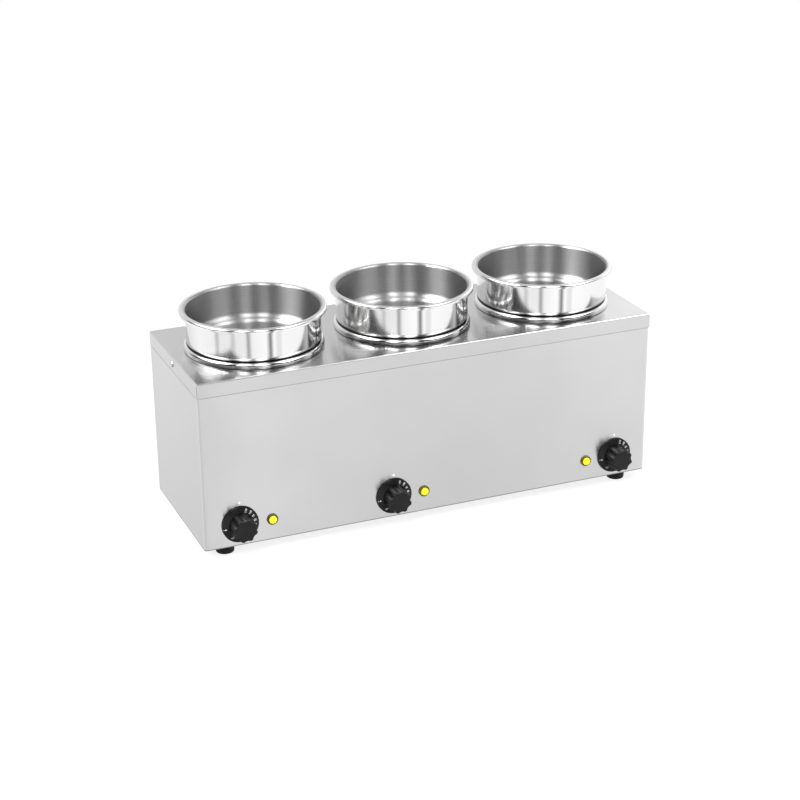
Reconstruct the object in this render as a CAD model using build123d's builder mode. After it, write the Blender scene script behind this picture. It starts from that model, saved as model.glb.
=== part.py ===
# Countertop soup warmer: a folded stainless case with three heated wells, each with a lift-out pot,
# its own thermostat knob and its own pilot lamp.
# Millimetres. +Z is up, the knobs face -Y, and the origin lies on the worktop under the middle of the case.
import os
from math import acos, cos, degrees, radians, sin, sqrt

from build123d import *

os.makedirs("parts", exist_ok=True)

# the three heating cells, left to right as seen from the front
cell_pitch = 215
cells = {"left": -cell_pitch, "middle": 0, "right": cell_pitch}
# the knob and lamp stand left of their cell's middle, and mirrored on the right-hand cell;
# they are spaced a little wider than the wells
control_pitch = 220
controls = {"left": -control_pitch, "middle": 0, "right": control_pitch}
sense = {"left": -1, "middle": -1, "right": 1}

# outside of the case
case_length = 660
case_depth = 220
case_height = 237
foot_height = 15
sheet = 1
fit_gap = 0.2

# lid
cover_lip = 20
cover_corner_radius = 0.8
cover_bend_radius = 1.5
cover_hole_radius = 88
cover_slit = 0.4
cover_screw_radius = 1.8

# front and side sheet
shell_bend_radius = 4.5
shell_flange = 16
seam_gap = 0.5

# well: a drawn cup whose edge is curled over the lid
well_radius = 86
well_depth = 150
well_corner_radius = 14
bead_radius = 4.5
bead_lift = 3.8
stud_radius = 3
stud_length = 22

# pot: wide band above the lid, narrower body in the well
pot_sheet = 1.2
pot_rim_lift = 56
pot_rim_radius = 99
pot_rim_lip = 5
pot_rim_round = 2.8
pot_mouth_round = 3
pot_band_radius = 91.5
pot_body_radius = 81
pot_shoulder_radius = 8.3
pot_neck_radius = 5
pot_seat_gap = 0.3
pot_height = 190
pot_corner_radius = 13

# front controls
knob_offset = 60
lamp_offset = 15
knob_height = 31
lamp_height = 29.5
spindle_hole_radius = 5.3
control_screw_spread = 28
control_screw_radius = 1.9
pip_radius = 1.6
pip_rise = 0.6
pip_height = 30.5

# knob: dial skirt and scalloped grip
skirt_radius = 25.5
skirt_edge = 1.6
skirt_thick = 4.2
skirt_gap = 0.8
grip_radius = 17.5
grip_height = 20.5
grip_draft = 3
grip_lobes = 8
grip_turn = 6
scallop_radius = 6.6
scallop_bite = 2.1
lobe_round = 1.4
grip_edge_round = 1
knob_cavity_radius = 20
knob_cavity_depth = 2.4

# thermostat
shaft_radius = 3
shaft_flat = 2.2
shaft_reach = 16
shaft_gap = 0.05
shaft_sunk = 10
bush_radius = 5
bush_length = 3.5
thermostat_width = 36
thermostat_tall = 38
thermostat_deep = 26
thermostat_round = 3
tab_width = 6.3
tab_long = 9
tab_thick = 0.8
tab_spread = 9

# sensing bulb and its tube
bulb_radius = 3
bulb_length = 80
bulb_rise = 22
capillary_radius = 0.9
capillary_bend = 9
clip_sheet = 1
clip_width = 8

# pilot lamp
bezel_radius = 7.7
bezel_height = 2.6
lamp_body_radius = 5.6
lamp_body_length = 27
lens_radius = 5.5
lens_dome = 2.4
lens_round = 2
lens_seat = 1.6
lamp_clip_radius = 8.5

# heater under each well
plate_radius = 68
plate_thick = 4
heater_ring_radius = 46
heater_tube_radius = 4
heater_gap_angle = 40
heater_bend_radius = 8
heater_leg = 14
clamp_length = 116
clamp_width = 22
clamp_thick = 2.5
nut_radius = 5.8
nut_height = 5

# insulation blanket round each well
blanket_thick = 12
blanket_height = 104
blanket_gap_angle = 44

# bottom tray
tray_wall = 11
tray_corner_radius = 4
tray_bend_radius = 2
slot_length = 46
slot_width = 5
slot_pitch = 13
slots_per_cell = 5

# back panel and its screws
back_screw_radius = 1.8
back_screw_rows = 4

# feet
foot_radius = 13
foot_toe_radius = 12.4
foot_round = 1.6
foot_inset_x = 34
foot_inset_y = 22
foot_recess_radius = 5.6
foot_recess_depth = 8
foot_screw_radius = 2.5
foot_screw_length = 16

# inlet gland in the back panel
gland_x = 262
gland_height = 46
gland_thread_radius = 9.8
gland_bore_radius = 6.5
gland_hex_radius = 13.5
gland_flange = 6
gland_thread = 9
gland_tail = 9
gland_nut_round = 5
gland_exit_radius = 4.6
locknut_height = 5
seal_radius = 6.4
seal_bore_radius = 4
seal_length = 14
seal_set_back = 3

# terminal block and earth stud on the tray
block_x = 250
block_y = 62
block_length = 44
block_depth = 20
block_height = 17
block_screw_radius = 3
block_pitch = 14
earth_x = 190
earth_stud_radius = 2.5
earth_stud_length = 20

# wiring
wire_radius = 2.2
wire_bend = 9
wire_rise = 7
lamp_wire_radius = 1.4
lamp_wire_bend = 5
lane_pitch = 15

# levels and faces worked out from the sizes above
case_bottom = foot_height
case_top = case_bottom + case_height
cover_bottom = case_top - cover_lip
cover_screw_z = cover_bottom + cover_lip / 2
overlap = sheet + fit_gap
neck_length = case_length - 2 * overlap
neck_depth = case_depth - 2 * overlap
seam_z = cover_bottom - seam_gap
shell_top = case_top - overlap
shell_height = shell_top - case_bottom
panel_front = -case_depth / 2
panel_inside = panel_front + sheet
panel_back = neck_depth / 2
shell_back = panel_back - sheet
bead_centre_radius = well_radius + bead_radius
bead_centre_z = case_top + bead_lift
well_bottom = case_top - well_depth
well_outside = well_radius + sheet
tray_top = case_bottom + sheet
control_z = case_bottom + knob_height
lamp_z = case_bottom + lamp_height
knob_reach = skirt_gap + skirt_thick + grip_height
gland_reach = knob_reach - panel_front - panel_back
plate_bottom = well_bottom - sheet - plate_thick
heater_z = plate_bottom - heater_tube_radius
clamp_top = heater_z - heater_tube_radius
clamp_bottom = clamp_top - clamp_thick
thermostat_back = panel_inside + thermostat_deep
lamp_back = panel_inside + lamp_body_length + tab_long
gland_z = case_bottom + gland_height
gland_outside = panel_back + gland_flange + gland_thread
knob_x = {side: x + sense[side] * knob_offset for side, x in controls.items()}
lamp_x = {side: x + sense[side] * lamp_offset for side, x in controls.items()}


# Plane through a point that faces the front, or the back: local y is up on both.
def front_plane(x, y, z):
    return Plane(origin=(x, y, z), x_dir=(1, 0, 0), z_dir=(0, -1, 0))


def rear_plane(x, y, z):
    return Plane(origin=(x, y, z), x_dir=(-1, 0, 0), z_dir=(0, 1, 0))


# Half-plane through a cell's axis, on which its turned profiles are drawn: x is the radius, y the height.
def profile_plane(x, y=0):
    return Plane(origin=(x, y, 0), x_dir=(1, 0, 0), z_dir=(0, -1, 0))


def upright_axis(x, y=0):
    return Axis((x, y, 0), (0, 0, 1))


def save(piece, label):
    piece.part.label = label
    export_step(piece.part, f"parts/{label}.step")


# Screws with a low conical head: each plane lies on the seat and faces out of the head.
def make_screws(label, planes, head_radius, head_height, shank_radius, shank_length):
    rim = head_height / 2
    with BuildPart() as screws:
        for plane in planes:
            with BuildSketch(plane):
                Circle(head_radius)
            extrude(amount=rim)
            with BuildSketch(plane.offset(rim)):
                Circle(head_radius)
            extrude(amount=head_height - rim, taper=40)
            with BuildSketch(plane):
                Circle(shank_radius)
            extrude(amount=-shank_length)
    save(screws, label)


# One solid for each route: straight runs with rounded corners.
def make_tubes(label, radius, bend, routes):
    with BuildPart() as tubes:
        for points in routes:
            with BuildLine() as run:
                FilletPolyline(*points, radius=bend)
            path = run.wires()[0]
            with BuildSketch(Plane(origin=path @ 0, z_dir=path % 0)):
                Circle(radius)
            sweep(path=path)
    save(tubes, label)


# top cover: folded lid with a lip all round, over the edge of the case; a slit stays open at each corner
with BuildPart() as top_cover:
    with BuildSketch(Plane.XY.offset(cover_bottom)):
        Rectangle(case_length, case_depth)
    extrude(amount=cover_lip)
    fillet(top_cover.edges().filter_by(Axis.Z), radius=cover_corner_radius)
    fillet(top_cover.faces().sort_by(Axis.Z)[-1].edges(), radius=cover_bend_radius)
    with BuildSketch(Plane.XY.offset(cover_bottom)):
        Rectangle(case_length - 2 * sheet, case_depth - 2 * sheet)
    extrude(amount=cover_lip - sheet, mode=Mode.SUBTRACT)
    for end in (-1, 1):
        for hand in (-1, 1):
            with BuildSketch(Plane.XY.offset(cover_bottom)):
                with Locations((end * case_length / 2, hand * case_depth / 2)):
                    Rectangle(6 * sheet, cover_slit, rotation=45 * end * hand)
            extrude(amount=cover_lip - cover_bend_radius, mode=Mode.SUBTRACT)
    with Locations(*[(x, 0, case_top) for x in cells.values()]):
        Hole(radius=cover_hole_radius, depth=cover_lip / 2)
    with BuildSketch(Plane.YZ.offset(-case_length / 2)):
        with Locations((0, cover_screw_z)):
            Circle(cover_screw_radius + fit_gap)
    extrude(amount=case_length, mode=Mode.SUBTRACT)
save(top_cover, "top_cover")

# front and sides: one sheet bent round the two front corners, with flanges turned in at the back and top;
# its top edge is stepped in, so that the lid's lip lies flush over it with a thin open seam below,
# and a pip is pressed out over each knob as its index
shell_levels = ((case_bottom, seam_z, 0), (seam_z, shell_top, overlap))
with BuildPart() as body_shell:
    for low, high, inset in shell_levels:
        with BuildSketch(Plane.XY.offset(low)) as outside:
            with Locations((0, shell_back)):
                Rectangle(case_length - 2 * inset, shell_back - panel_front - inset,
                          align=(Align.CENTER, Align.MAX))
            fillet(outside.vertices().group_by(Axis.Y)[0], radius=shell_bend_radius - inset)
        extrude(amount=high - low)
    for low, high, inset in shell_levels:
        inside_low = max(low - sheet, case_bottom)
        inside_inset = inset + sheet
        with BuildSketch(Plane.XY.offset(inside_low)) as inside:
            with Locations((0, shell_back - sheet)):
                Rectangle(case_length - 2 * inside_inset, shell_back - sheet - panel_front - inside_inset,
                          align=(Align.CENTER, Align.MAX))
            fillet(inside.vertices().group_by(Axis.Y)[0], radius=shell_bend_radius - inside_inset)
        extrude(amount=high - sheet - inside_low, mode=Mode.SUBTRACT)
    with BuildSketch(Plane.XY.offset(shell_top)):
        Rectangle(neck_length - 2 * shell_flange, neck_depth - 2 * shell_flange)
        with Locations((0, neck_depth / 2)):
            Rectangle(neck_length - 2 * shell_flange, neck_depth)
    extrude(amount=-sheet, mode=Mode.SUBTRACT)
    with BuildSketch(rear_plane(0, panel_back, case_bottom)):
        with Locations((0, shell_height / 2)):
            Rectangle(neck_length - 2 * shell_flange, shell_height)
    extrude(amount=-3 * sheet, mode=Mode.SUBTRACT)
    with BuildSketch(front_plane(0, panel_front, 0)):
        with Locations(*[(x, control_z) for x in knob_x.values()]):
            Circle(spindle_hole_radius)
            with GridLocations(control_screw_spread, 1, 2, 1):
                Circle(control_screw_radius + fit_gap)
        with Locations(*[(x, lamp_z) for x in lamp_x.values()]):
            Circle(lamp_body_radius + fit_gap)
    extrude(amount=-2 * sheet, mode=Mode.SUBTRACT)
    with BuildSketch(front_plane(0, panel_front, control_z + pip_height)):
        with Locations(*[(x, 0) for x in knob_x.values()]):
            Circle(pip_radius)
    extrude(amount=pip_rise)
    fillet(body_shell.edges().group_by(Axis.Y)[0], radius=pip_rise * 0.9)
    with BuildSketch(Plane.YZ.offset(-case_length / 2)):
        with Locations((0, cover_screw_z)):
            Circle(cover_screw_radius + fit_gap)
    extrude(amount=case_length, mode=Mode.SUBTRACT)
    flange_x = neck_length / 2 - shell_flange / 2
    screw_rise = (shell_height - 3 * cover_lip) / (back_screw_rows - 1)
    screw_middle = case_bottom + shell_height / 2
    with BuildSketch(rear_plane(0, panel_back, screw_middle)):
        with GridLocations(2 * flange_x, screw_rise, 2, back_screw_rows):
            Circle(back_screw_radius + fit_gap)
    extrude(amount=-3 * sheet, mode=Mode.SUBTRACT)
save(body_shell, "body_shell")

# back panel: a flat sheet screwed on the shell's rear flanges
with BuildPart() as back_panel:
    with BuildSketch(rear_plane(0, panel_back, screw_middle)):
        Rectangle(neck_length, shell_height)
        with GridLocations(2 * flange_x, screw_rise, 2, back_screw_rows):
            Circle(back_screw_radius + fit_gap, mode=Mode.SUBTRACT)
        with Locations((-gland_x, gland_z - screw_middle)):
            Circle(gland_thread_radius + fit_gap, mode=Mode.SUBTRACT)
    extrude(amount=-sheet)
save(back_panel, "back_panel")

# bottom tray: turned-up walls spot-welded inside the shell, vent slots, and weld nuts for the feet
tray_length = case_length - 2 * overlap
tray_depth = shell_back - sheet - panel_inside - 2 * fit_gap
tray_y = (shell_back - sheet + panel_inside) / 2
foot_spread_x = case_length - 2 * foot_inset_x
foot_spread_y = case_depth - 2 * foot_inset_y
with BuildPart() as base_plate:
    with BuildSketch(Plane.XY.offset(case_bottom)):
        with Locations((0, tray_y)):
            RectangleRounded(tray_length, tray_depth, tray_corner_radius)
    extrude(amount=tray_wall)
    fillet(base_plate.faces().sort_by(Axis.Z)[0].edges(), radius=tray_bend_radius)
    with BuildSketch(Plane.XY.offset(tray_top)):
        with Locations((0, tray_y)):
            RectangleRounded(tray_length - 2 * sheet, tray_depth - 2 * sheet, tray_corner_radius - sheet)
    extrude(amount=tray_wall, mode=Mode.SUBTRACT)
    with BuildSketch(Plane.XY.offset(case_bottom)):
        with Locations(*[(x, 0) for x in cells.values()]):
            with GridLocations(1, slot_pitch, 1, slots_per_cell):
                SlotOverall(slot_length, slot_width)
    extrude(amount=2 * sheet, mode=Mode.SUBTRACT)
    with BuildSketch(Plane.XY.offset(tray_top)):
        with GridLocations(foot_spread_x, foot_spread_y, 2, 2):
            RegularPolygon(nut_radius, 6)
    extrude(amount=nut_height)
    with BuildSketch(Plane.XY.offset(case_bottom)):
        with GridLocations(foot_spread_x, foot_spread_y, 2, 2):
            Circle(foot_screw_radius + fit_gap)
        with Locations((earth_x, block_y)):
            Circle(earth_stud_radius + fit_gap)
    extrude(amount=tray_wall, mode=Mode.SUBTRACT)
save(base_plate, "base_plate")

# screws of the lid, the back and the thermostats
side_planes = [
    Plane(origin=(end * case_length / 2, 0, cover_screw_z), x_dir=(0, 1, 0), z_dir=(end, 0, 0))
    for end in (-1, 1)
]
make_screws("cover_screws", side_planes, 4, 1.4, cover_screw_radius, 9)
back_planes = [
    rear_plane(end * flange_x, panel_back, screw_middle + (row - (back_screw_rows - 1) / 2) * screw_rise)
    for end in (-1, 1)
    for row in range(back_screw_rows)
]
make_screws("back_screws", back_planes, 3.8, 2.2, back_screw_radius, 9)
thermostat_planes = [
    front_plane(x + end * control_screw_spread / 2, panel_front, control_z)
    for x in knob_x.values()
    for end in (-1, 1)
]
make_screws("thermostat_screws", thermostat_planes, 3.4, 1.6, control_screw_radius, 6)


# well: drawn cup with its mouth curled outward into a polished bead that rests on the lid
def make_well(side):
    x = cells[side]
    with BuildPart() as well:
        with BuildSketch(profile_plane(x)):
            with BuildLine():
                Line((bead_centre_radius + bead_radius, case_top), (bead_centre_radius + bead_radius, bead_centre_z))
                CenterArc((bead_centre_radius, bead_centre_z), bead_radius, 0, 180)
                Line((well_radius, bead_centre_z), (well_radius, well_bottom + well_corner_radius))
                CenterArc((well_radius - well_corner_radius, well_bottom + well_corner_radius),
                          well_corner_radius, 0, -90)
                Line((well_radius - well_corner_radius, well_bottom), (0, well_bottom))
                offset(amount=sheet, side=Side.LEFT)
            make_face()
        revolve(axis=upright_axis(x))
        with BuildSketch(Plane(origin=(x, 0, well_bottom - sheet))):
            Circle(stud_radius)
        extrude(amount=-stud_length)
    save(well, f"well_{side}")


# pot: the shoulder is two tangent arcs, and its outer arc sits just clear of the well's bead
shoulder_sum = pot_shoulder_radius + pot_neck_radius
shoulder_step = pot_band_radius - pot_body_radius
shoulder_angle = acos((shoulder_sum - shoulder_step) / shoulder_sum)
shoulder_drop = shoulder_sum * sin(shoulder_angle)
shoulder_centre = pot_band_radius - pot_shoulder_radius
neck_centre = pot_body_radius + pot_neck_radius
seat_distance = pot_shoulder_radius + bead_radius + pot_seat_gap
shoulder_z = bead_centre_z + sqrt(seat_distance**2 - (bead_centre_radius - shoulder_centre) ** 2)
neck_z = shoulder_z - shoulder_drop
rim_z = case_top + pot_rim_lift
pot_floor = rim_z - pot_height + pot_sheet
mouth_radius = pot_band_radius - pot_sheet
bore_radius = pot_body_radius - pot_sheet
shoulder_turn = degrees(shoulder_angle)


def make_pot(side):
    x = cells[side]
    with BuildPart() as pot:
        with BuildSketch(profile_plane(x)):
            with BuildLine():
                Line((pot_rim_radius, rim_z - pot_rim_lip), (pot_rim_radius, rim_z - pot_rim_round))
                CenterArc((pot_rim_radius - pot_rim_round, rim_z - pot_rim_round), pot_rim_round, 0, 90)
                Line((pot_rim_radius - pot_rim_round, rim_z), (mouth_radius + pot_mouth_round, rim_z))
                CenterArc((mouth_radius + pot_mouth_round, rim_z - pot_mouth_round), pot_mouth_round, 90, 90)
                Line((mouth_radius, rim_z - pot_mouth_round), (mouth_radius, shoulder_z))
                CenterArc((shoulder_centre, shoulder_z), pot_shoulder_radius - pot_sheet, 0, -shoulder_turn)
                CenterArc((neck_centre, neck_z), pot_neck_radius + pot_sheet, 180 - shoulder_turn, shoulder_turn)
                Line((bore_radius, neck_z), (bore_radius, pot_floor + pot_corner_radius))
                CenterArc((bore_radius - pot_corner_radius, pot_floor + pot_corner_radius),
                          pot_corner_radius, 0, -90)
                Line((bore_radius - pot_corner_radius, pot_floor), (0, pot_floor))
                offset(amount=pot_sheet, side=Side.LEFT)
            make_face()
        revolve(axis=upright_axis(x))
    save(pot, f"pot_{side}")


# heat plate and tubular element, clamped under the well by a bar on the well's stud
def make_heat_plate(side):
    with BuildPart() as heat_plate:
        with BuildSketch(Plane(origin=(cells[side], 0, plate_bottom))):
            Circle(plate_radius)
            Circle(stud_radius + fit_gap, mode=Mode.SUBTRACT)
        extrude(amount=plate_thick)
        chamfer(heat_plate.edges().group_by(Axis.Z)[0].sort_by(SortBy.RADIUS)[-1], length=1)
    save(heat_plate, f"heat_plate_{side}")


# end of the element's ring on one side of its gap, with the way its tube leads into the gap
def ring_end(x, turn):
    angle = radians(-90 + turn * heater_gap_angle / 2)
    point = Vector(x + heater_ring_radius * cos(angle), heater_ring_radius * sin(angle), heater_z)
    inward = Vector(turn * sin(angle), -turn * cos(angle), 0)
    return point, inward


def leg_top(x, turn):
    point, inward = ring_end(x, turn)
    return point + heater_bend_radius * (inward - Vector(0, 0, 1))


def make_heater(side):
    x = cells[side]
    with BuildPart() as heater:
        with BuildLine() as element:
            CenterArc((x, 0, heater_z), heater_ring_radius, -90 + heater_gap_angle / 2, 360 - heater_gap_angle)
            for turn in (-1, 1):
                point, inward = ring_end(x, turn)
                TangentArc(point, leg_top(x, turn), tangent=inward)
                Line(leg_top(x, turn), leg_top(x, turn) - Vector(0, 0, heater_leg))
        path = element.wires()[0]
        with BuildSketch(Plane(origin=path @ 0, z_dir=path % 0)):
            Circle(heater_tube_radius)
        sweep(path=path)
    save(heater, f"heater_{side}")


# insulation blanket: a ring left open at the front, where the sensing bulb lies on the well
def make_insulation(side):
    x = cells[side]
    blanket_top = shell_top - 3 * sheet
    half_gap = radians(blanket_gap_angle / 2)
    reach = case_depth / 2
    with BuildPart() as insulation:
        with BuildSketch(Plane(origin=(x, 0, blanket_top - blanket_height))):
            Circle(well_outside + fit_gap + blanket_thick)
            Circle(well_outside + fit_gap, mode=Mode.SUBTRACT)
            with BuildLine():
                Polyline((0, 0), (reach * sin(half_gap), -reach * cos(half_gap)),
                         (-reach * sin(half_gap), -reach * cos(half_gap)), close=True)
            make_face(mode=Mode.SUBTRACT)
        extrude(amount=blanket_height)
    save(insulation, f"insulation_{side}")


# thermostat: boxed switch with a bush through the panel and blade terminals at the back
def make_thermostat(side):
    x = knob_x[side]
    with BuildPart() as thermostat:
        with BuildSketch(front_plane(x, panel_inside, control_z)):
            RectangleRounded(thermostat_width, thermostat_tall, thermostat_round)
        extrude(amount=-thermostat_deep)
        with BuildSketch(front_plane(x, panel_inside, control_z)):
            Circle(bush_radius)
        extrude(amount=bush_length)
        with BuildSketch(front_plane(x, thermostat_back, control_z)):
            with GridLocations(tab_spread, tab_spread, 2, 2):
                Rectangle(tab_width, tab_thick)
        extrude(amount=-tab_long)
        with BuildSketch(front_plane(x, panel_inside - bush_length, control_z)):
            Circle(shaft_radius + shaft_gap)
        extrude(amount=-(bush_length + shaft_sunk), mode=Mode.SUBTRACT)
        with BuildSketch(front_plane(x, panel_inside, control_z)):
            with GridLocations(control_screw_spread, 1, 2, 1):
                Circle(control_screw_radius + fit_gap)
        extrude(amount=-shaft_sunk, mode=Mode.SUBTRACT)
    save(thermostat, f"thermostat_{side}")


# shaft of the thermostat: round in the bush, with a flat where the knob is pushed on
bush_end = panel_inside - bush_length
shaft_end = bush_end - shaft_reach


def make_shaft(side):
    x = knob_x[side]
    shaft_start = panel_inside + shaft_sunk - fit_gap
    with BuildPart() as shaft:
        with BuildSketch(front_plane(x, shaft_start, control_z)):
            Circle(shaft_radius)
        extrude(amount=shaft_start - shaft_end)
        with BuildSketch(front_plane(x, shaft_end, control_z)):
            with Locations((0, shaft_flat + shaft_radius)):
                Rectangle(4 * shaft_radius, 2 * shaft_radius)
        extrude(amount=-shaft_reach, mode=Mode.SUBTRACT)
    save(shaft, f"thermostat_shaft_{side}")


# knob: conical dial skirt, hollow behind, with a scalloped grip and a D-shaped bore
def make_knob(side):
    x = knob_x[side]
    knob_back = panel_front - skirt_gap
    with BuildPart() as knob:
        with BuildSketch(Plane(origin=(x, knob_back, control_z), x_dir=(1, 0, 0), z_dir=(0, 0, 1))):
            with BuildLine():
                Polyline((0, 0), (skirt_radius, 0), (skirt_radius, -skirt_edge),
                         (grip_radius, -skirt_thick), (0, -skirt_thick), close=True)
            make_face()
        revolve(axis=Axis((x, 0, control_z), (0, 1, 0)))
        with BuildSketch(front_plane(x, knob_back - skirt_thick, control_z)) as grip:
            Circle(grip_radius)
            with PolarLocations(grip_radius - scallop_bite + scallop_radius, grip_lobes, grip_turn):
                Circle(scallop_radius, mode=Mode.SUBTRACT)
            fillet(grip.vertices(), radius=lobe_round)
        extrude(amount=grip_height, taper=grip_draft)
        fillet(knob.faces().sort_by(Axis.Y)[0].edges(), radius=grip_edge_round)
        with BuildSketch(front_plane(x, knob_back, control_z)):
            Circle(knob_cavity_radius)
        extrude(amount=knob_cavity_depth, mode=Mode.SUBTRACT)
        with BuildSketch(front_plane(x, knob_back, control_z)):
            Circle(shaft_radius + fit_gap / 4)
            with Locations((0, shaft_flat + fit_gap / 4 + shaft_radius)):
                Rectangle(4 * shaft_radius, 2 * shaft_radius, mode=Mode.SUBTRACT)
        extrude(amount=knob_back - shaft_end + fit_gap, mode=Mode.SUBTRACT)
    save(knob, f"knob_{side}")


# sensing bulb on the well's wall, with the capillary tube that leads down to the thermostat
def make_capillary(side):
    x = cells[side]
    bulb_y = -(well_outside + bulb_radius + fit_gap)
    bulb_z = well_bottom + bulb_rise
    entry_x = knob_x[side] - sense[side] * tab_spread
    thermostat_top = control_z + thermostat_tall / 2
    route = [
        (x, bulb_y, bulb_z),
        (x, bulb_y, bulb_z - 2.4 * capillary_bend),
        (entry_x, bulb_y, thermostat_top + 2.4 * capillary_bend),
        (entry_x, bulb_y, thermostat_top),
    ]
    with BuildPart() as capillary:
        with BuildLine() as run:
            FilletPolyline(*route, radius=capillary_bend)
        path = run.wires()[0]
        with BuildSketch(Plane(origin=path @ 0, z_dir=path % 0)):
            Circle(capillary_radius)
        sweep(path=path)
        with BuildSketch(Plane(origin=(x, bulb_y, bulb_z))):
            Circle(bulb_radius)
        extrude(amount=bulb_length)
        fillet(capillary.faces().sort_by(Axis.Z)[-1].edges(), radius=bulb_radius / 3)
    save(capillary, f"capillary_{side}")


# pilot lamp: bezel and body in one moulding, with a domed lens in its mouth
def make_lamp(side):
    x = lamp_x[side]
    bezel_front = panel_front - bezel_height
    with BuildPart() as housing:
        with BuildSketch(front_plane(x, panel_front, lamp_z)):
            Circle(bezel_radius)
        extrude(amount=bezel_height)
        chamfer(housing.edges().group_by(Axis.Y)[0], length=bezel_height / 3)
        with BuildSketch(front_plane(x, panel_front, lamp_z)):
            Circle(lamp_body_radius)
        extrude(amount=-(sheet + lamp_body_length))
        with BuildSketch(front_plane(x, panel_inside + lamp_body_length, lamp_z)):
            with GridLocations(1, lamp_body_radius, 1, 2):
                Rectangle(tab_width, tab_thick)
        extrude(amount=-tab_long)
        with BuildSketch(front_plane(x, bezel_front, lamp_z)):
            Circle(lens_radius)
        extrude(amount=-lens_seat, mode=Mode.SUBTRACT)
    save(housing, f"lamp_housing_{side}")
    with BuildPart() as lens:
        with BuildSketch(front_plane(x, bezel_front + lens_seat, lamp_z)):
            Circle(lens_radius - fit_gap / 2)
        extrude(amount=lens_seat + lens_dome)
        fillet(lens.faces().sort_by(Axis.Y)[0].edges(), radius=lens_round)
    save(lens, f"lamp_lens_{side}")


for name in cells:
    make_well(name)
    make_pot(name)
    make_heat_plate(name)
    make_heater(name)
    make_insulation(name)
    make_thermostat(name)
    make_shaft(name)
    make_knob(name)
    make_capillary(name)
    make_lamp(name)

# clamp bars, nuts and clips, alike in the three cells
with BuildPart() as heater_clamps:
    with BuildSketch(Plane.XY.offset(clamp_bottom)):
        with Locations(*[(x, 0) for x in cells.values()]):
            SlotOverall(clamp_length, clamp_width)
            Circle(stud_radius + fit_gap, mode=Mode.SUBTRACT)
    extrude(amount=clamp_thick)
save(heater_clamps, "heater_clamps")

with BuildPart() as heater_nuts:
    with BuildSketch(Plane.XY.offset(clamp_bottom - nut_height)):
        with Locations(*[(x, 0) for x in cells.values()]):
            RegularPolygon(nut_radius, 6)
            Circle(stud_radius + fit_gap, mode=Mode.SUBTRACT)
    extrude(amount=nut_height)
save(heater_nuts, "heater_nuts")

with BuildPart() as lamp_clips:
    with BuildSketch(front_plane(0, panel_inside, lamp_z)):
        with Locations(*[(x, 0) for x in lamp_x.values()]):
            Circle(lamp_clip_radius)
            Circle(lamp_body_radius + fit_gap, mode=Mode.SUBTRACT)
    extrude(amount=-sheet)
save(lamp_clips, "lamp_clips")

# spring clips that press the bulbs on the wells
with BuildPart() as bulb_clips:
    clip_y = -(well_outside + bulb_radius + fit_gap)
    clip_inside = bulb_radius + fit_gap
    with BuildSketch(Plane.XY.offset(well_bottom + bulb_rise + bulb_length / 2)):
        with Locations(*[(x, clip_y) for x in cells.values()]):
            Circle(clip_inside + clip_sheet)
            Rectangle(6 * bulb_radius, 2 * bulb_radius, align=(Align.CENTER, Align.MIN))
        with Locations(*[(x, clip_y) for x in cells.values()]):
            Circle(clip_inside, mode=Mode.SUBTRACT)
            Rectangle(2 * clip_inside, 2 * bulb_radius, align=(Align.CENTER, Align.MIN), mode=Mode.SUBTRACT)
        with Locations(*[(x, 0) for x in cells.values()]):
            Circle(well_outside + fit_gap / 2, mode=Mode.SUBTRACT)
    extrude(amount=clip_width)
save(bulb_clips, "bulb_clips")


# foot: tapered rubber with a recess for its screw
def make_foot(name, x, y):
    with BuildPart() as foot:
        with BuildSketch(profile_plane(x, y)) as section:
            with BuildLine():
                Polyline((foot_screw_radius + fit_gap, foot_height), (foot_radius, foot_height),
                         (foot_toe_radius, 0), (foot_recess_radius, 0),
                         (foot_recess_radius, foot_recess_depth),
                         (foot_screw_radius + fit_gap, foot_recess_depth), close=True)
            make_face()
            toe = section.vertices().group_by(Axis.Y)[0].sort_by(Axis.X)[-1]
            fillet(toe, radius=foot_round)
        revolve(axis=upright_axis(x, y))
    save(foot, name)


foot_places = {
    f"foot_{end}_{hand}": (hand_x * foot_spread_x / 2, end_y * foot_spread_y / 2)
    for end, end_y in (("front", -1), ("rear", 1))
    for hand, hand_x in (("left", -1), ("right", 1))
}
for name, (x, y) in foot_places.items():
    make_foot(name, x, y)
foot_planes = [
    Plane(origin=(x, y, foot_recess_depth), x_dir=(1, 0, 0), z_dir=(0, 0, -1)) for x, y in foot_places.values()
]
make_screws("foot_screws", foot_planes, 4.6, 3, foot_screw_radius, foot_screw_length)

# inlet gland: body through the back panel, locknut inside, dome nut and rubber seal outside
with BuildPart() as cable_gland:
    with BuildSketch(rear_plane(gland_x, panel_back, gland_z)):
        RegularPolygon(gland_hex_radius, 6)
    extrude(amount=gland_flange)
    with BuildSketch(rear_plane(gland_x, panel_back - sheet - gland_tail, gland_z)):
        Circle(gland_thread_radius)
    extrude(amount=gland_outside - panel_back + sheet + gland_tail)
    with BuildSketch(rear_plane(gland_x, panel_back - sheet - gland_tail, gland_z)):
        Circle(gland_bore_radius)
    extrude(amount=gland_outside - panel_back + sheet + gland_tail, mode=Mode.SUBTRACT)
save(cable_gland, "cable_gland")

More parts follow.
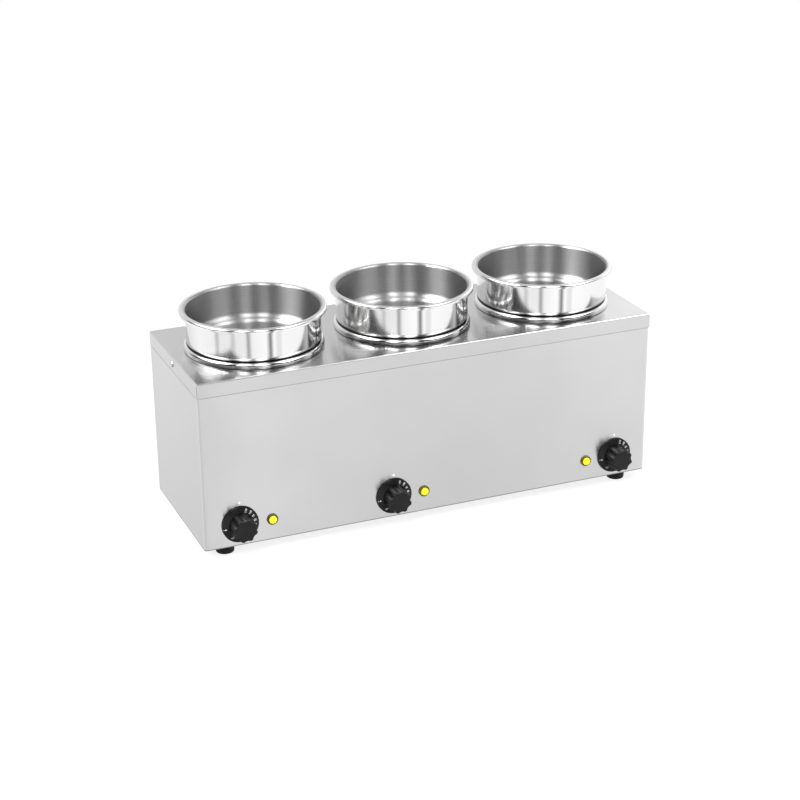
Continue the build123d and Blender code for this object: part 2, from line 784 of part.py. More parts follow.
nut_start = panel_back + gland_flange
with BuildPart() as gland_nut:
    with BuildSketch(rear_plane(gland_x, nut_start, gland_z)):
        RegularPolygon(gland_hex_radius, 6)
    extrude(amount=gland_reach - gland_flange - gland_nut_round)
    with BuildSketch(rear_plane(gland_x, nut_start, gland_z)):
        Circle(gland_hex_radius * cos(radians(30)))
    extrude(amount=gland_reach - gland_flange)
    fillet(gland_nut.faces().sort_by(Axis.Y)[-1].edges(), radius=gland_nut_round - fit_gap)
    with BuildSketch(rear_plane(gland_x, nut_start, gland_z)):
        Circle(gland_thread_radius + fit_gap)
    extrude(amount=gland_thread + seal_set_back, mode=Mode.SUBTRACT)
    with BuildSketch(rear_plane(gland_x, nut_start, gland_z)):
        Circle(gland_exit_radius)
    extrude(amount=gland_reach, mode=Mode.SUBTRACT)
save(gland_nut, "gland_nut")

with BuildPart() as gland_locknut:
    with BuildSketch(rear_plane(gland_x, panel_back - sheet - locknut_height, gland_z)):
        RegularPolygon(gland_hex_radius, 6)
        Circle(gland_thread_radius + fit_gap, mode=Mode.SUBTRACT)
    extrude(amount=locknut_height)
save(gland_locknut, "gland_locknut")

with BuildPart() as gland_seal:
    with BuildSketch(rear_plane(gland_x, gland_outside + seal_set_back - fit_gap - seal_length, gland_z)):
        Circle(seal_radius)
        Circle(seal_bore_radius, mode=Mode.SUBTRACT)
    extrude(amount=seal_length)
save(gland_seal, "gland_seal")

# terminal block: three ways, with a screw well over each
with BuildPart() as terminal_block:
    with BuildSketch(Plane(origin=(block_x, block_y, tray_top))):
        Rectangle(block_length, block_depth)
    extrude(amount=block_height / 2)
    with BuildSketch(Plane(origin=(block_x, block_y, tray_top))):
        Rectangle(block_length, block_depth - block_pitch / 2)
    extrude(amount=block_height)
    with BuildSketch(Plane(origin=(block_x, block_y, tray_top + block_height))):
        with GridLocations(block_pitch, 1, 3, 1):
            Circle(block_screw_radius)
    extrude(amount=-block_height / 3, mode=Mode.SUBTRACT)
save(terminal_block, "terminal_block")

with BuildPart() as earth_stud:
    with BuildSketch(Plane(origin=(earth_x, block_y, case_bottom))):
        Circle(earth_stud_radius)
    extrude(amount=earth_stud_length)
    for level in (0, nut_height + sheet):
        with BuildSketch(Plane(origin=(earth_x, block_y, tray_top + level))):
            RegularPolygon(nut_radius - sheet, 6)
        extrude(amount=nut_height)
save(earth_stud, "earth_stud")


# wiring: mains to the thermostats along the tray, then on to the heaters and lamps
def supply_route(side, order):
    start_x = block_x + order * block_pitch
    end_x = knob_x[side] + sense[side] * tab_spread / 2
    lane_y = block_y - block_depth / 2 - (2 + order) * lane_pitch
    low_z = tray_top + wire_rise
    end_z = control_z - tab_spread / 2
    return [
        (start_x, block_y - block_depth / 2, low_z),
        (start_x, lane_y, low_z),
        (end_x, lane_y, low_z),
        (end_x, thermostat_back + tab_long + 3 * wire_bend, low_z),
        (end_x, thermostat_back + tab_long + wire_bend, end_z),
        (end_x, thermostat_back + tab_long, end_z),
    ]


def heater_route(side):
    start_x = knob_x[side] - sense[side] * tab_spread / 2
    end = leg_top(cells[side], sense[side]) - Vector(0, 0, heater_leg)
    start_z = control_z + tab_spread / 2
    return [
        (start_x, thermostat_back + tab_long, start_z),
        (start_x, end.Y, start_z),
        (end.X, end.Y, start_z),
        (end.X, end.Y, end.Z),
    ]


def lamp_route(side):
    end_x = knob_x[side] - sense[side] * tab_spread / 2
    turn_y = lamp_back + 2 * lamp_wire_bend
    end_z = control_z - tab_spread / 2
    return [
        (lamp_x[side], lamp_back, lamp_z),
        (lamp_x[side], turn_y, lamp_z),
        (end_x, turn_y, end_z),
        (end_x, thermostat_back + tab_long, end_z),
    ]


make_tubes("supply_wires", wire_radius, 4, [supply_route(side, order) for order, side in enumerate(cells, -1)])
make_tubes("heater_wires", wire_radius, wire_bend, [heater_route(side) for side in cells])
make_tubes("lamp_wires", lamp_wire_radius, lamp_wire_bend, [lamp_route(side) for side in cells])
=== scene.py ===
import math

import bmesh
import bpy
from mathutils import Matrix, Vector


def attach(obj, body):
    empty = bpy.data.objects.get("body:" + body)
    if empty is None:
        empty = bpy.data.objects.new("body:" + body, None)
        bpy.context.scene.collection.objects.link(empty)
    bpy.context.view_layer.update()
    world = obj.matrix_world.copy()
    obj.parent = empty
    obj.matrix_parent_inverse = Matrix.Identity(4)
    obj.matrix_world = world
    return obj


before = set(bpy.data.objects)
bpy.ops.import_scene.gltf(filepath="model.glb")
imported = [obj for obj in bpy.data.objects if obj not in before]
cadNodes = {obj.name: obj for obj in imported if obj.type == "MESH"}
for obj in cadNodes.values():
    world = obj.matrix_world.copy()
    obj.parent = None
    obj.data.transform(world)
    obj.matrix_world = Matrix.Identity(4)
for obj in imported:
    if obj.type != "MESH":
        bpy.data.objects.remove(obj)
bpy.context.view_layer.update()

sides = ("left", "middle", "right")
print("frame loaded:", len(cadNodes), "nodes")


photoCamera = {
    "azimuth": -22.452,  # degrees round from straight in front
    "elevation": 22.246,
    "roll": -0.59,
    "distance": 2.7008,
    "sideways": -0.00488,  # slides that centre the object as in the photograph
    "upward": 0.1255,
    "lens": 84.65,  # millimetres
    "sensor": 36,
    "clip": (0.05, 100),
}


def makeCamera(spec):
    azimuth, elevation, roll = (math.radians(spec[key]) for key in ("azimuth", "elevation", "roll"))
    back = Vector((
        math.sin(azimuth) * math.cos(elevation),
        -math.cos(azimuth) * math.cos(elevation),
        math.sin(elevation),
    ))
    level = Vector((math.cos(azimuth), math.sin(azimuth), 0))
    upright = back.cross(level)
    right = math.cos(roll) * level + math.sin(roll) * upright
    up = -math.sin(roll) * level + math.cos(roll) * upright
    data = bpy.data.cameras.new("photoCamera")
    data.lens = spec["lens"]
    data.sensor_width = spec["sensor"]
    data.clip_start, data.clip_end = spec["clip"]
    camera = bpy.data.objects.new("photoCamera", data)
    bpy.context.scene.collection.objects.link(camera)
    place = spec["sideways"] * right + spec["upward"] * up + spec["distance"] * back
    turn = Matrix((right, up, back)).transposed()
    camera.matrix_world = Matrix.Translation(place) @ turn.to_4x4()
    bpy.context.scene.camera = camera


makeCamera(photoCamera)
print("camera placed")


def grey(level):
    return (level, level, level, 1)


def newFinish(name, **sockets):
    material = bpy.data.materials.new(name)
    material.use_nodes = True
    tree = material.node_tree
    shader = tree.nodes["Principled BSDF"]
    for socket, value in sockets.items():
        shader.inputs[socket.replace("_", " ")].default_value = value
    return material, tree, shader


def dress(material, *names):
    for name in names:
        for slot in cadNodes[name].material_slots:
            slot.material = material


# puts a plain value on a socket, or links another node's output to it
def feed(tree, socket, value):
    if isinstance(value, bpy.types.NodeSocket):
        tree.links.new(value, socket)
    else:
        socket.default_value = value


def addNode(tree, kind, inputs=None, **settings):
    node = tree.nodes.new("ShaderNode" + kind)
    for name, value in settings.items():
        setattr(node, name, value)
    for name, value in (inputs or {}).items():
        feed(tree, node.inputs[name], value)
    return node


def calculate(tree, operation, *values, clamp=False):
    node = addNode(tree, "Math", operation=operation, use_clamp=clamp)
    for socket, value in zip(node.inputs, values):
        feed(tree, socket, value)
    return node.outputs["Value"]


def calculateVector(tree, operation, *values):
    node = addNode(tree, "VectorMath", operation=operation)
    for socket, value in zip(node.inputs, values):
        feed(tree, socket, value)
    return node.outputs["Value" if operation in ("LENGTH", "DOT_PRODUCT") else "Vector"]


def splitAxes(tree, vector):
    return addNode(tree, "SeparateXYZ", {"Vector": vector}).outputs


# without levels of its own it stretches noise, most of which lies between 0.3 and 0.7
def mapTo(tree, value, low, high, fromLow=0.3, fromHigh=0.7, shape="LINEAR"):
    return addNode(tree, "MapRange", {
        "Value": value, "From Min": fromLow, "From Max": fromHigh, "To Min": low, "To Max": high,
    }, interpolation_type=shape).outputs["Result"]


def mixValues(tree, factor, first, second):
    inputs = {"Factor": factor, "A": first, "B": second}
    return addNode(tree, "Mix", inputs, data_type="FLOAT").outputs["Result"]


# the node's colour sockets share their names with its number sockets, so they go by place
def mixColours(tree, factor, first, second, blend="MIX"):
    node = addNode(tree, "Mix", {"Factor": factor}, data_type="RGBA", blend_type=blend)
    firstPlace, secondPlace, resultPlace = 6, 7, 2
    feed(tree, node.inputs[firstPlace], first)
    feed(tree, node.inputs[secondPlace], second)
    return node.outputs[resultPlace]


def rampColours(tree, value, stops):
    node = addNode(tree, "ValToRGB", {"Fac": value})
    elements = node.color_ramp.elements
    while len(elements) < len(stops):
        elements.new(0.5)
    for element, (place, colour) in zip(elements, stops):
        element.position = place
        element.color = colour
    return node.outputs["Color"]


# grain: noise in object space, with the cells per metre along each axis
def addGrain(tree, scale, detail=3):
    coords = addNode(tree, "TexCoord")
    mapping = addNode(tree, "Mapping", {"Vector": coords.outputs["Object"], "Scale": scale})
    return addNode(tree, "TexNoise", {
        "Vector": mapping.outputs["Vector"], "Scale": 1.0, "Detail": detail, "Roughness": 0.55,
    }).outputs["Fac"]


def addBump(tree, shader, height, strength, distance):
    node = addNode(tree, "Bump", {"Height": height, "Strength": strength, "Distance": distance})
    tree.links.new(node.outputs["Normal"], shader.inputs["Normal"])


# way and distance from a round piece's upright axis, as shares of its width
def fromAxis(tree, coords):
    centred = calculateVector(tree, "SUBTRACT", coords.outputs["Generated"], (0.5, 0.5, 0))
    outward = calculateVector(tree, "MULTIPLY", centred, (1, 1, 0))
    return outward, calculateVector(tree, "LENGTH", outward)


caseSteel = {
    "colour": grey(0.655),
    "rough": (0.17, 0.25),
    "patches": 5,  # duller patches per metre
    "stretch": 0.75,  # how far highlights stretch across the brushing
    "sideFacing": 0.7,  # faces turned further than this to the side are brushed along Y
    "grainAlong": 9,  # brushing, cells per metre
    "grainAcross": 1500,
    "grainStrength": 0.35,
    "grainDepth": 0.00002,
}


# white paint on the pointers, which stand proud of the front, and a band of painted shade along the
# sheet's cut foot
def paintFront(tree, shader, spec):
    place = splitAxes(tree, addNode(tree, "TexCoord").outputs["Object"])
    painted = calculate(tree, "LESS_THAN", place["Y"], spec["pointerFace"])
    sheet = rampColours(tree, painted, [(0.0, spec["colour"]), (1.0, spec["pointer"])])
    # a band of painted shade along the foot of the sheet
    inFootShade = calculate(tree, "LESS_THAN", place["Z"], spec["footShadeHeight"])
    tree.links.new(mixColours(tree, inFootShade, sheet, spec["footShade"]), shader.inputs["Base Color"])
    tree.links.new(calculate(tree, "SUBTRACT", 1.0, painted), shader.inputs["Metallic"])


# brushed sheet: the grain runs along X, and along Y on the two short sides
def makeSheetSteel(name, spec):
    material, tree, shader = newFinish(
        name, Base_Color=spec["colour"], Metallic=1.0, Anisotropic=spec["stretch"],
    )
    along, across = spec["grainAlong"], spec["grainAcross"]
    frontGrain = addGrain(tree, (along, across, across), detail=2)
    sideGrain = addGrain(tree, (across, along, across), detail=2)
    normal = addNode(tree, "NewGeometry").outputs["True Normal"]
    facing = calculate(tree, "ABSOLUTE", splitAxes(tree, normal)["X"])
    onSide = calculate(tree, "GREATER_THAN", facing, spec["sideFacing"])
    grain = mixValues(tree, onSide, frontGrain, sideGrain)
    if "pointerFace" in spec:
        paintFront(tree, shader, spec)
    # highlights stretch across the brushing
    onFront = calculate(tree, "SUBTRACT", 1.0, onSide)
    brushed = addNode(tree, "CombineXYZ", {"X": onFront, "Y": onSide}).outputs["Vector"]
    stretched = calculateVector(tree, "CROSS_PRODUCT", normal, brushed)
    tree.links.new(stretched, shader.inputs["Tangent"])
    patches = addGrain(tree, (spec["patches"],) * 3)
    tree.links.new(mapTo(tree, patches, *spec["rough"]), shader.inputs["Roughness"])
    addBump(tree, shader, grain, spec["grainStrength"], spec["grainDepth"])
    return material


frontSteel = dict(
    caseSteel,
    pointerFace=-0.11012, pointer=grey(0.88),  # white paint on the pointer above each knob
    footShadeHeight=0.0163, footShade=grey(0.3),  # painted shade along the cut lower edge
)
lidSteel = dict(caseSteel, colour=grey(0.64))
traySteel = dict(caseSteel, colour=(0.6, 0.605, 0.61, 1), rough=(0.3, 0.42))
dress(makeSheetSteel("caseSteel", caseSteel), "back_panel")
dress(makeSheetSteel("frontSteel", frontSteel), "body_shell")
dress(makeSheetSteel("lidSteel", lidSteel), "top_cover")
dress(makeSheetSteel("traySteel", traySteel), "base_plate")
print("case finished")


potSteel = {
    "colour": (0.75, 0.75, 0.748, 1),
    # the inside is painted darker than the outside: painted shade on the same steel
    "inner": grey(0.48),
    "brushed": (0.29, 0.29, 0.292, 1),  # the darker lines of the brushing inside, darkened further by the inside's painted shade
    "brushedShare": (0.38, 0.58),  # noise levels at which those lines begin and end
    "insideFacing": (-0.12, 0.02),  # faces that look towards the pot's axis are its inside
    "outsideRough": (0.08, 0.13),
    "insideRough": (0.31, 0.43),
    "smears": (22, 22, 4),  # smears per metre
    "stretch": 0.97,
    "stretchTurn": 0.25,  # a quarter turn lays the highlights along the spun rings
    "rings": (340, 1700),  # spun rings: per width outward from the axis, and per metre up
    "ringStrength": 0.4,
    "ringDepth": 0.00002,
    "seatShadeHeight": (0.2635, 0.2665),  # painted shade below the band, where it sits on the well's bead
    "seatShadeEnd": (0.25, 0.257),  # and the painted shade fades out on the body below
    "seatPaintedShade": grey(0.45),
}


def makePotSteel(spec):
    material, tree, shader = newFinish(
        "potSteel", Base_Color=spec["colour"], Metallic=1.0,
        Anisotropic=spec["stretch"], Anisotropic_Rotation=spec["stretchTurn"],
    )
    coords = addNode(tree, "TexCoord")
    outward, radius = fromAxis(tree, coords)
    normal = addNode(tree, "NewGeometry").outputs["True Normal"]
    facing = calculateVector(tree, "DOT_PRODUCT", outward, normal)
    outside = mapTo(tree, facing, 0, 1, *spec["insideFacing"])
    height = splitAxes(tree, coords.outputs["Object"])["Z"]
    # spun rings: noise that changes with radius and height only
    profile = addNode(tree, "CombineXYZ", {"X": radius, "Y": height}).outputs["Vector"]
    scaled = addNode(tree, "Mapping", {"Vector": profile, "Scale": (*spec["rings"], 1)})
    rings = addNode(tree, "TexNoise", {
        "Vector": scaled.outputs["Vector"], "Scale": 1.0, "Detail": 3.0, "Roughness": 0.6,
    }, noise_dimensions="2D").outputs["Fac"]
    smears = addGrain(tree, spec["smears"], detail=2)
    insideRough = mapTo(tree, smears, *spec["insideRough"])
    outsideRough = mapTo(tree, smears, *spec["outsideRough"])
    tree.links.new(mixValues(tree, outside, insideRough, outsideRough), shader.inputs["Roughness"])
    tangent = addNode(tree, "Tangent", direction_type="RADIAL", axis="Z")
    tree.links.new(tangent.outputs["Tangent"], shader.inputs["Tangent"])
    addBump(tree, shader, rings, spec["ringStrength"], spec["ringDepth"])
    # inside: the brushing's lines over a colour darkened by painted shade
    stops = list(zip(spec["brushedShare"], (spec["brushed"], spec["inner"])))
    lines = rampColours(tree, rings, stops)
    steel = mixColours(tree, outside, lines, spec["colour"])
    # painted shade in a ring below the band, on the outside of the pot only
    underBand = mapTo(tree, height, 1, 0, *spec["seatShadeHeight"])
    aboveBody = mapTo(tree, height, 0, 1, *spec["seatShadeEnd"])
    seatShadeMask = calculate(tree, "MULTIPLY", calculate(tree, "MULTIPLY", underBand, aboveBody), outside)
    shaded = mixColours(tree, seatShadeMask, steel, spec["seatPaintedShade"], blend="MULTIPLY")
    tree.links.new(shaded, shader.inputs["Base Color"])
    return material


wellSteel = {
    "colour": (0.74, 0.74, 0.738, 1),
    "beadShade": grey(0.1),  # painted shade where the pot sits on the bead, and along the bead's foot on the lid
    "footHeight": (0.2522, 0.2538),
    "insideHeight": (0.2545, 0.2575),  # below this the well's inside has no painted shade
    "insideReach": (0.457, 0.465),  # shares of the well's width, from its axis
    "seatReach": (0.474, 0.483),
    "rough": (0.05, 0.12),
    "smears": (40, 40, 15),  # smears and ripples per metre
    "ripples": (26, 26, 26),
    "rippleStrength": 0.35,
    "rippleDepth": 0.00025,
}


def makeWellSteel(spec):
    material, tree, shader = newFinish("wellSteel", Base_Color=spec["colour"], Metallic=1.0)
    smears = addGrain(tree, spec["smears"])
    tree.links.new(mapTo(tree, smears, *spec["rough"]), shader.inputs["Roughness"])
    ripples = addGrain(tree, spec["ripples"], detail=1)
    addBump(tree, shader, ripples, spec["rippleStrength"], spec["rippleDepth"])
    coords = addNode(tree, "TexCoord")
    height = splitAxes(tree, coords.outputs["Object"])["Z"]
    radius = fromAxis(tree, coords)[1]
    # painted shade everywhere but on the bead's top and the well's inside
    aboveFoot = mapTo(tree, height, 0, 1, *spec["footHeight"])
    beyondSeat = mapTo(tree, radius, 0, 1, *spec["seatReach"])
    bead = calculate(tree, "MULTIPLY", aboveFoot, beyondSeat)
    belowSeat = mapTo(tree, height, 1, 0, *spec["insideHeight"])
    withinSeat = mapTo(tree, radius, 1, 0, *spec["insideReach"])
    inside = calculate(tree, "MULTIPLY", belowSeat, withinSeat)
    bright = calculate(tree, "MAXIMUM", bead, inside)
    steel = rampColours(tree, bright, [(0.0, spec["beadShade"]), (1.0, spec["colour"])])
    tree.links.new(steel, shader.inputs["Base Color"])
    return material


dress(makePotSteel(potSteel), *(f"pot_{side}" for side in sides))
dress(makeWellSteel(wellSteel), *(f"well_{side}" for side in sides))
print("pots and wells finished")


# "scale" is the marks per metre
smallMetals = {
    "screwZinc": {
        "colour": grey(0.66), "rough": (0.16, 0.34), "scale": 700, "depth": 0.00003,
        "nodes": ["cover_screws", "back_screws", "thermostat_screws", "foot_screws", "heater_nuts",
                  "earth_stud", "lamp_clips", "bulb_clips"],
    },
    "shaftSteel": {
        "colour": grey(0.6), "rough": (0.2, 0.34), "scale": 900, "depth": 0.00002,
        "nodes": [f"thermostat_shaft_{side}" for side in sides],
    },
    "clampSteel": {
        "colour": (0.5, 0.5, 0.49, 1), "rough": (0.34, 0.55), "scale": 240, "depth": 0.00006,
        "nodes": ["heater_clamps"],
    },
    "heaterSheath": {
        "colour": (0.26, 0.23, 0.2, 1), "rough": (0.42, 0.62), "scale": 160, "depth": 0.00006,
        "nodes": [f"heater_{side}" for side in sides],
    },
    "plateAluminium": {
        "colour": (0.72, 0.725, 0.73, 1), "rough": (0.34, 0.5), "scale": 320, "depth": 0.00005,
        "nodes": [f"heat_plate_{side}" for side in sides],
    },
    "capillaryCopper": {
        "colour": (0.74, 0.4, 0.24, 1), "rough": (0.22, 0.42), "scale": 200, "depth": 0.00003,
        "nodes": [f"capillary_{side}" for side in sides],
    },
}
tarnish = {
    "spread": 6,  # how much larger the tarnished patches are than the marks
    "shade": 0.72,
    "share": (0.35, 0.6),  # noise levels at which the tarnish ends and the clean metal begins
    "markStrength": 0.4,
}


def makeSmallMetal(name, spec, wear):
    material, tree, shader = newFinish(name, Base_Color=spec["colour"], Metallic=1.0)
    marks = addGrain(tree, (spec["scale"],) * 3, detail=4)
    tree.links.new(mapTo(tree, marks, *spec["rough"]), shader.inputs["Roughness"])
    patches = addGrain(tree, (spec["scale"] / wear["spread"],) * 3)
    dark = tuple(wear["shade"] * part for part in spec["colour"][:3]) + (1,)
    colours = rampColours(tree, patches, list(zip(wear["share"], (dark, spec["colour"]))))
    tree.links.new(colours, shader.inputs["Base Color"])
    addBump(tree, shader, marks, wear["markStrength"], spec["depth"])
    return material


for metalName, metal in smallMetals.items():
    dress(makeSmallMetal(metalName, metal, tarnish), *metal["nodes"])


# "scale" is the skin's grains per metre
moulded = {
    "knobPlastic": {
        "colour": (0.003, 0.003, 0.0032, 1), "pale": (0.0066, 0.0066, 0.007, 1),
        "rough": (0.29, 0.4), "specular": 0.3, "scale": 1600, "depth": 0.00003,
        "nodes": [f"knob_{side}" for side in sides],
    },
    "lampRing": {
        "colour": (0.06, 0.042, 0.002, 1), "pale": (0.15, 0.108, 0.004, 1),
        "rough": (0.29, 0.36), "specular": 0.25, "scale": 500, "depth": 0.00001,
        "nodes": [f"lamp_housing_{side}" for side in sides],
    },
    "footRubber": {
        "colour": (0.003, 0.003, 0.0032, 1), "pale": (0.008, 0.008, 0.0083, 1),
        "rough": (0.55, 0.75), "specular": 0.3, "scale": 900, "depth": 0.00006,
        "nodes": ["foot_front_left", "foot_front_right", "foot_rear_left", "foot_rear_right",
                  "gland_seal"],
    },
    "glandPlastic": {
        "colour": (0.02, 0.02, 0.022, 1), "pale": (0.035, 0.035, 0.037, 1),
        "rough": (0.38, 0.5), "scale": 1100, "depth": 0.00003,
        "nodes": ["cable_gland", "gland_nut", "gland_locknut"],
    },
    "thermostatResin": {
        "colour": (0.6, 0.57, 0.5, 1), "pale": (0.72, 0.7, 0.64, 1),
        "rough": (0.5, 0.65), "scale": 300, "depth": 0.00005,
        "nodes": [f"thermostat_{side}" for side in sides],
    },
    "terminalWhite": {
        "colour": (0.7, 0.7, 0.67, 1), "pale": (0.8, 0.8, 0.77, 1),
        "rough": (0.4, 0.5), "scale": 400, "depth": 0.00003, "nodes": ["terminal_block"],
    },
    "wireSleeve": {
        "colour": (0.42, 0.07, 0.03, 1), "pale": (0.55, 0.12, 0.05, 1),
        "rough": (0.5, 0.65), "scale": 700, "depth": 0.00008,
        "nodes": ["supply_wires", "heater_wires", "lamp_wires"],
    },
    "glassWool": {
        "colour": (0.62, 0.56, 0.38, 1), "pale": (0.84, 0.8, 0.64, 1),
        "rough": (0.85, 0.95), "scale": 260, "depth": 0.0006,
        "nodes": [f"insulation_{side}" for side in sides],
    },
}
mouldedSkin = {
    "cloudSpread": 14,  # how much larger the paler clouds are than the skin's grain
    "paleShare": (0.35, 0.75),
    "grainStrength": 0.5,
    "specular": 0.5,  # where a plastic gives none of its own
}


def makeMoulded(name, spec, surface):
    material, tree, shader = newFinish(
        name, Base_Color=spec["colour"],
        Specular_IOR_Level=spec.get("specular", surface["specular"]),
    )
    grain = addGrain(tree, (spec["scale"],) * 3)
    clouds = addGrain(tree, (spec["scale"] / surface["cloudSpread"],) * 3)
    stops = list(zip(surface["paleShare"], (spec["colour"], spec["pale"])))
    tree.links.new(rampColours(tree, clouds, stops), shader.inputs["Base Color"])
    tree.links.new(mapTo(tree, clouds, *spec["rough"]), shader.inputs["Roughness"])
    addBump(tree, shader, grain, surface["grainStrength"], spec["depth"])
    return material


for mouldedName, plastic in moulded.items():
    dress(makeMoulded(mouldedName, plastic, mouldedSkin), *plastic["nodes"])

lampLens = {
    "colour": (0.93, 0.8, 0.012, 1),
    "deep": (0.9, 0.7, 0.006, 1),
    "deepShare": (0.3, 0.55),
    "clouds": (200, 200, 200),  # deeper clouds per metre
    "rough": (0.12, 0.2),
    "clear": 0.12,  # share of the light that passes through
    "refraction": 1.49,
    "glow": 0.2,
    "facets": 900,  # moulded facets per metre
    "facetStrength": 0.25,
    "facetDepth": 0.0003,
}


def makeLampLens(spec):
    material, tree, shader = newFinish(
        "lampLens", Base_Color=spec["colour"], Transmission_Weight=spec["clear"],
        IOR=spec["refraction"], Emission_Color=spec["colour"], Emission_Strength=spec["glow"],
    )
    place = addNode(tree, "TexCoord").outputs["Object"]
    facets = addNode(tree, "TexVoronoi", {"Vector": place, "Scale": spec["facets"]})
    clouds = addGrain(tree, spec["clouds"], detail=2)
    stops = list(zip(spec["deepShare"], (spec["deep"], spec["colour"])))
    tree.links.new(rampColours(tree, clouds, stops), shader.inputs["Base Color"])
    tree.links.new(mapTo(tree, clouds, *spec["rough"]), shader.inputs["Roughness"])
    addBump(tree, shader, facets.outputs["Distance"], spec["facetStrength"], spec["facetDepth"])
    return material


dress(makeLampLens(lampLens), *(f"lamp_lens_{side}" for side in sides))
print("plastics finished")


dial = {
    "firstAngle": 21,  # degrees clockwise from the index, for the highest number
    "pitch": 19,
    "numbers": [110, 100, 90, 80, 70, 60, 50, 40, 30],
    "unit": "°C",
    "unitAngle": 217,
    "offAngle": 261,
    "offDotPlace": 0.0212,  # the off mark: a dot with a short bar outside it
    "offDotRadius": 0.00095,
    "offDotSides": 20,
    "offBarReach": (0.0226, 0.0246),
    "offBarHalfWidth": 0.00028,
    "textSize": 0.0038,
    "textWidth": 0.94,  # the figures are this much narrower than the typeface
    "textBold": 0.0001,
    "textSteps": 3,  # steps along each curve of a figure
    "startRadius": 0.0183,  # inner end of the radial numbers
    "skirtRadius": 0.0255,
    "skirtEdge": 0.0016,
    "gripRadius": 0.0175,
    "skirtThick": 0.0042,
    "height": 0.046,
    "back": -0.1108,  # rear face of the knob
    "lift": 0.00006,  # how far the print stands off the skirt
    "ink": (0.62, 0.62, 0.61, 1),
    "inkRough": 0.5,
    "wornShade": 0.55,
    "wornShare": (0.3, 0.42),
    "wornSpots": (2500, 2500, 2500),  # per metre
}
knobX = {"left": -0.28, "middle": -0.06, "right": 0.28}


def makeInk(spec):
    ink = spec["ink"]
    material, tree, shader = newFinish("dialInk", Base_Color=ink, Roughness=spec["inkRough"])
    worn = addGrain(tree, spec["wornSpots"], detail=2)
    thin = tuple(spec["wornShade"] * part for part in ink[:3]) + (1,)
    colours = rampColours(tree, worn, list(zip(spec["wornShare"], (thin, ink))))
    tree.links.new(colours, shader.inputs["Base Color"])
    return material


# a word as a flat mesh in the XY plane, with its left end at the origin
def wordMesh(text, spec):
    curve = bpy.data.curves.new("word", "FONT")
    curve.body = text
    curve.size = spec["textSize"]
    curve.align_x = "LEFT"
    curve.align_y = "CENTER"
    curve.resolution_u = spec["textSteps"]
    curve.offset = spec["textBold"]
    holder = bpy.data.objects.new("word", curve)
    bpy.context.scene.collection.objects.link(holder)
    bpy.context.view_layer.update()
    shaped = holder.evaluated_get(bpy.context.evaluated_depsgraph_get())
    mesh = bpy.data.meshes.new_from_object(shaped)
    bpy.data.objects.remove(holder)
    bpy.data.curves.remove(curve)
    return mesh


# lays flat points (radius, side step) on the conical skirt, at an angle clockwise from the top
def layOnSkirt(points, angle, spec, side):
    rise = spec["skirtThick"] - spec["skirtEdge"]
    slope = rise / (spec["gripRadius"] - spec["skirtRadius"])
    laid = []
    for out, step in points:
        radius = math.hypot(out, step)
        turn = math.radians(angle) - math.atan2(step, out)
        depth = spec["skirtEdge"] + slope * (radius - spec["skirtRadius"]) + spec["lift"]
        laid.append(Vector((
            knobX[side] + radius * math.sin(turn),
            spec["back"] - depth,
            spec["height"] + radius * math.cos(turn),
        )))
    return laid


def offMark(spec):
    size, count = spec["offDotRadius"], spec["offDotSides"]
    turns = [2 * math.pi * number / count for number in range(count)]
    dot = [(spec["offDotPlace"] + size * math.cos(turn), size * math.sin(turn)) for turn in turns]
    inner, outer = spec["offBarReach"]
    half = spec["offBarHalfWidth"]
    bar = [(inner, -half), (outer, -half), (outer, half), (inner, half)]
    return dot, bar


def printDial(side, spec, ink):
    outline = bmesh.new()
    labels = [(spec["firstAngle"] + row * spec["pitch"], str(number))
              for row, number in enumerate(spec["numbers"])]
    labels.append((spec["unitAngle"], spec["unit"]))
    for angle, text in labels:
        word = wordMesh(text, spec)
        flat = [(spec["startRadius"] + spec["textWidth"] * vertex.co.x, vertex.co.y)
                for vertex in word.vertices]
        corners = [outline.verts.new(point) for point in layOnSkirt(flat, angle, spec, side)]
        for polygon in word.polygons:
            outline.faces.new([corners[index] for index in polygon.vertices])
        bpy.data.meshes.remove(word)
    for shape in offMark(spec):
        laid = layOnSkirt(shape, spec["offAngle"], spec, side)
        outline.faces.new([outline.verts.new(point) for point in laid])
    bmesh.ops.recalc_face_normals(outline, faces=outline.faces)
    for face in outline.faces:
        if face.normal.y > 0:
            face.normal_flip()
    mesh = bpy.data.meshes.new(f"dial_print_{side}")
    outline.to_mesh(mesh)
    outline.free()
    mesh.materials.append(ink)
    piece = bpy.data.objects.new(f"dial_print_{side}", mesh)
    bpy.context.scene.collection.objects.link(piece)
    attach(piece, f"knob_{side}")


dialInk = makeInk(dial)
for side in sides:
    printDial(side, dial, dialInk)
print("dials printed")


